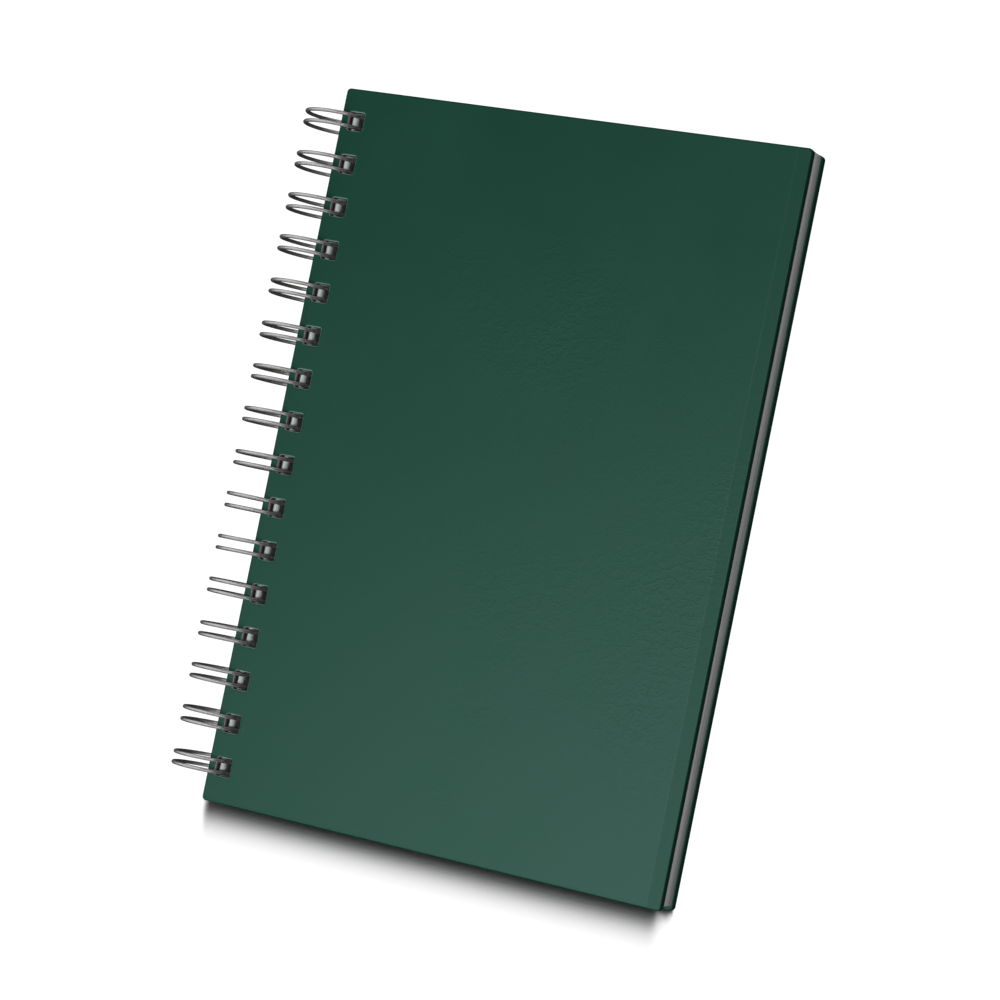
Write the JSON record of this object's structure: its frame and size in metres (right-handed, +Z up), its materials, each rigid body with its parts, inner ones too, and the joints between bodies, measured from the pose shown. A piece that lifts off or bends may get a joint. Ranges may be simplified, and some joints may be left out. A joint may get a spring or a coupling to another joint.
{
  "type": "spiral notebook",
  "caption": "Hard-cover notebook of about A5 size with two boards in a leather-like covering, a block of pages and a twin-loop wire binding down its left side; both covers swing on the wire.",
  "frame": {"origin": "middle of the whole footprint, on the surface that the wire loops rest on", "axes": "+X from the wire to the fore-edge, +Y from tail to head along the spine, +Z up through the front cover"},
  "size_m": [0.1586, 0.2106, 0.0203],
  "materials": {
    "covering": "fine grained, semi-matt",
    "board": "raw cut board",
    "lining": "uncoated",
    "pages": "uncoated",
    "wire": "dark nickel"
  },
  "bodies": {
    "bound_pages": {"page_block": "pages", "wire_binding": "wire"},
    "front_cover": {"front_cover_wrap": "covering", "front_cover_board": "board", "front_lining": "lining"},
    "back_cover": {"back_cover_wrap": "covering", "back_cover_board": "board", "back_lining": "lining"}
  },
  "joints": [
    {"name": "front_cover_hinge", "type": "hinge", "parent": "bound_pages", "child": "front_cover", "pos_m": [-0.06918, 0, 0.01013], "axis": [0, -1, 0], "range_deg": [0, 240]},
    {"name": "back_cover_hinge", "type": "hinge", "parent": "bound_pages", "child": "back_cover", "pos_m": [-0.06918, 0, 0.01013], "axis": [0, 1, 0], "range_deg": [0, 240]}
  ]
}
